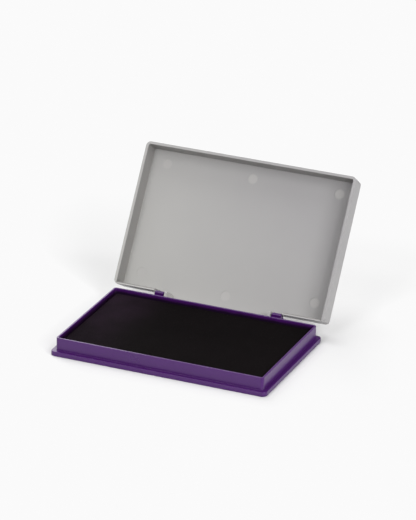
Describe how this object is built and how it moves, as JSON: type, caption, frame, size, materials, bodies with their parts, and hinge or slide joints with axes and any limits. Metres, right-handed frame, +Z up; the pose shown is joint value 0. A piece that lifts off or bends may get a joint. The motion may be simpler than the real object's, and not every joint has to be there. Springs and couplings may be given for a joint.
{
  "type": "ink pad",
  "caption": "Rectangular cloth-topped ink pad in a shallow moulded tray with a stepped foot and a lid that swings open on hinge ears at the back.",
  "frame": {"origin": "centre of the tray's flat underside", "axes": "+Z up from the underside, +Y towards the hinge at the back, +X along the hinge line to the right as seen from the front"},
  "size_m": [0.1166, 0.127, 0.0748],
  "materials": {
    "tray_plastic": "satin moulded purple plastic",
    "lid_plastic": "fine matt moulded light grey plastic",
    "ink_felt": "dense felt soaked with ink",
    "inked_cloth": "fine woven cotton, saturated with black-violet ink"
  },
  "bodies": {
    "base": {"tray": "tray_plastic", "felt_core": "ink_felt", "cloth_cover": "inked_cloth"},
    "cover": {"lid": "lid_plastic"}
  },
  "joints": [
    {"name": "lid_hinge", "type": "hinge", "parent": "base", "child": "cover", "pos_m": [0, 0.0407, 0.006], "axis": [1, 0, 0], "range_deg": [0, 122]}
  ]
}
